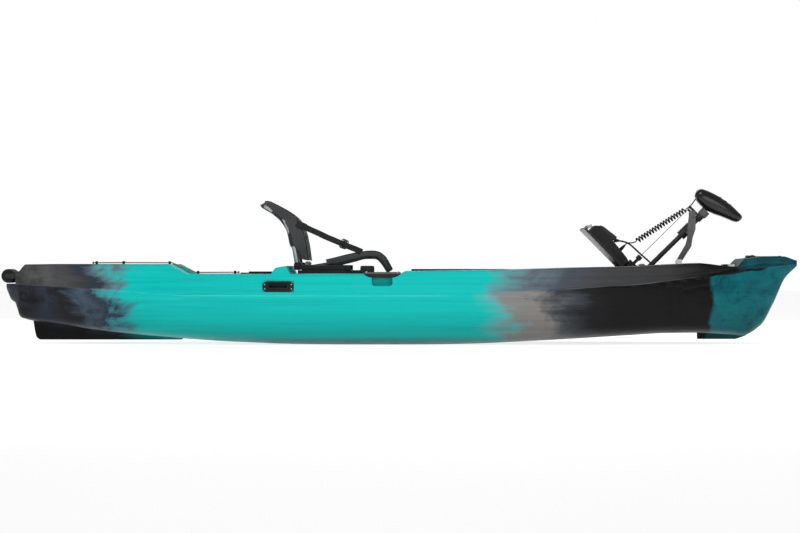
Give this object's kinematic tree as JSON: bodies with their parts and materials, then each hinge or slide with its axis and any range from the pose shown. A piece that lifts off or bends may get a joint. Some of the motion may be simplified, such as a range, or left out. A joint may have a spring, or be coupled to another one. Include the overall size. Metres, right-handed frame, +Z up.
{
  "type": "fishing kayak",
  "caption": "Sit-on-top fishing kayak with a framed mesh seat, wells, bow hatch and a tilting, steerable electric trolling motor.",
  "frame": {"origin": "under the middle of the boat, on the ground that the hull stands on", "axes": "+X to the bow, +Y to port, +Z up; the motor is stowed"},
  "size_m": [4.114, 0.94, 0.802],
  "materials": {
    "hull_plastic": "rotomoulded polyethylene, teal blended into charcoal at both ends",
    "black_plastic": "black moulded plastic",
    "grey_plastic": "grey moulded plastic",
    "gloss_black": "glossy black painted plastic",
    "rubber": "black rubber",
    "aluminium": "anodised aluminium",
    "steel": "stainless steel",
    "painted": "black painted metal",
    "dark_fabric": "black mesh fabric",
    "webbing": "black woven webbing",
    "light_fabric": "beige rolled fabric",
    "bungee": "orange-red shock cord",
    "cord": "black cable sheath",
    "battery_case": "battery case",
    "latch_plastic": "pale translucent plastic",
    "circuit": "green circuit board"
  },
  "bodies": {
    "hull": {"hull": "hull_plastic", "drain_plug": "black_plastic", "stern_handle_bracket": "grey_plastic", "stern_grip": "rubber", "bow_strap": "webbing", "side_handle_plates": "black_plastic", "gunwale_bars": "aluminium", "gear_tracks": "aluminium", "deck_fasteners": "steel", "pad_eyes": "black_plastic", "tank_bungee": "bungee", "battery_box": "black_plastic", "battery": "battery_case", "hatch_gasket": "rubber", "hatch_hinge": "black_plastic", "seat_rails": "aluminium", "tilt_bracket": "aluminium", "tilt_pin": "steel", "power_cable": "cord", "deck_gland": "black_plastic", "arm_bracket": "steel"},
    "side_handle_right": {"side_handle_grip_right": "rubber"},
    "side_handle_left": {"side_handle_grip_left": "rubber"},
    "battery_lid": {"battery_lid": "black_plastic"},
    "hatch_lid": {"hatch_lid": "gloss_black"},
    "hatch_latch": {"hatch_latch": "grey_plastic"},
    "seat": {"seat_beams": "black_plastic", "seat_base_frame": "aluminium", "seat_base_pad": "dark_fabric", "seat_pivots": "aluminium", "seat_straps": "webbing"},
    "seat_back": {"seat_back_frame": "aluminium", "seat_back_pad": "dark_fabric", "seat_hem_roll": "light_fabric", "strap_buckles": "black_plastic"},
    "seat_knob_right": {"seat_knob_right": "black_plastic"},
    "seat_knob_left": {"seat_knob_left": "black_plastic"},
    "motor_mount": {"motor_plate": "painted", "control_housing": "black_plastic", "housing_cover": "grey_plastic", "control_board": "circuit", "steering_housing": "black_plastic", "coil_cord": "cord", "cord_leads": "cord", "cable_glands": "black_plastic", "pull_cord": "cord", "cord_bracket": "black_plastic"},
    "release_latch": {"release_latch": "latch_plastic"},
    "depth": {"depth_collar": "black_plastic", "cord_clip": "black_plastic"},
    "steering": {"motor_shaft": "grey_plastic", "head_lower": "gloss_black", "head_upper": "gloss_black", "neck_clamp": "grey_plastic", "motor_pod": "painted", "motor_nose": "black_plastic"},
    "propeller": {"armature": "steel", "propeller": "black_plastic"},
    "support_arm": {"support_arm": "grey_plastic"}
  },
  "joints": [
    {"name": "side_handle_right_hinge", "type": "hinge", "parent": "hull", "child": "side_handle_right", "pos_m": [-0.612, -0.4585, 0.305], "axis": [-1, 0, 0], "range_deg": [0, 90]},
    {"name": "side_handle_left_hinge", "type": "hinge", "parent": "hull", "child": "side_handle_left", "pos_m": [-0.612, 0.4585, 0.305], "axis": [1, 0, 0], "range_deg": [0, 90]},
    {"name": "battery_lid_hinge", "type": "hinge", "parent": "hull", "child": "battery_lid", "pos_m": [-0.819, 0, 0.361], "axis": [0, -1, 0], "range_deg": [0, 100]},
    {"name": "hatch_lid_hinge", "type": "hinge", "parent": "hull", "child": "hatch_lid", "pos_m": [1.969, 0, 0.448], "axis": [0, 1, 0], "range_deg": [0, 100]},
    {"name": "hatch_latch_turn", "type": "hinge", "parent": "hatch_lid", "child": "hatch_latch", "pos_m": [1.828, 0, 0.452], "axis": [0, 0, 1], "range_deg": [0, 90]},
    {"name": "seat_slide", "type": "slide", "parent": "hull", "child": "seat", "axis": [1, 0, 0], "range_m": [0, 0.04]},
    {"name": "seat_back_recline", "type": "hinge", "parent": "seat", "child": "seat_back", "pos_m": [-0.524, 0, 0.405], "axis": [0, 1, 0], "range_deg": [-12, 60], "deforming": ["seat_straps"]},
    {"name": "seat_knob_right_turn", "type": "hinge", "parent": "seat", "child": "seat_knob_right", "pos_m": [-0.262, -0.2884, 0.3915], "axis": [0, 1, 0], "continuous": true},
    {"name": "seat_knob_left_turn", "type": "hinge", "parent": "seat", "child": "seat_knob_left", "pos_m": [-0.262, 0.2884, 0.3915], "axis": [0, 1, 0], "continuous": true},
    {"name": "motor_tilt", "type": "hinge", "parent": "hull", "child": "motor_mount", "pos_m": [1.251, 0, 0.264], "axis": [0, -1, 0], "range_deg": [0, 45.5], "deforming": ["power_cable"]},
    {"name": "release_latch_hinge", "type": "hinge", "parent": "motor_mount", "child": "release_latch", "pos_m": [0.96469, 0, 0.59673], "axis": [0, -1, 0], "range_deg": [0, 50]},
    {"name": "shaft_depth", "type": "slide", "parent": "motor_mount", "child": "depth", "axis": [-0.7133, 0, -0.7009], "range_m": [0, 0.14], "deforming": ["coil_cord", "cord_leads", "pull_cord"]},
    {"name": "shaft_steering", "type": "hinge", "parent": "depth", "child": "steering", "pos_m": [1.20544, 0, 0.31036], "axis": [0.7133, 0, 0.7009], "range_deg": [-90, 90]},
    {"name": "propeller_spin", "type": "hinge", "parent": "steering", "child": "propeller", "pos_m": [0.95728, 0, 0.23474], "axis": [-0.7009, 0, 0.7133], "continuous": true},
    {"name": "support_arm_fold", "type": "hinge", "parent": "hull", "child": "support_arm", "pos_m": [1.44, -0.063, 0.424], "axis": [0, 1, 0], "range_deg": [0, 48]}
  ]
}
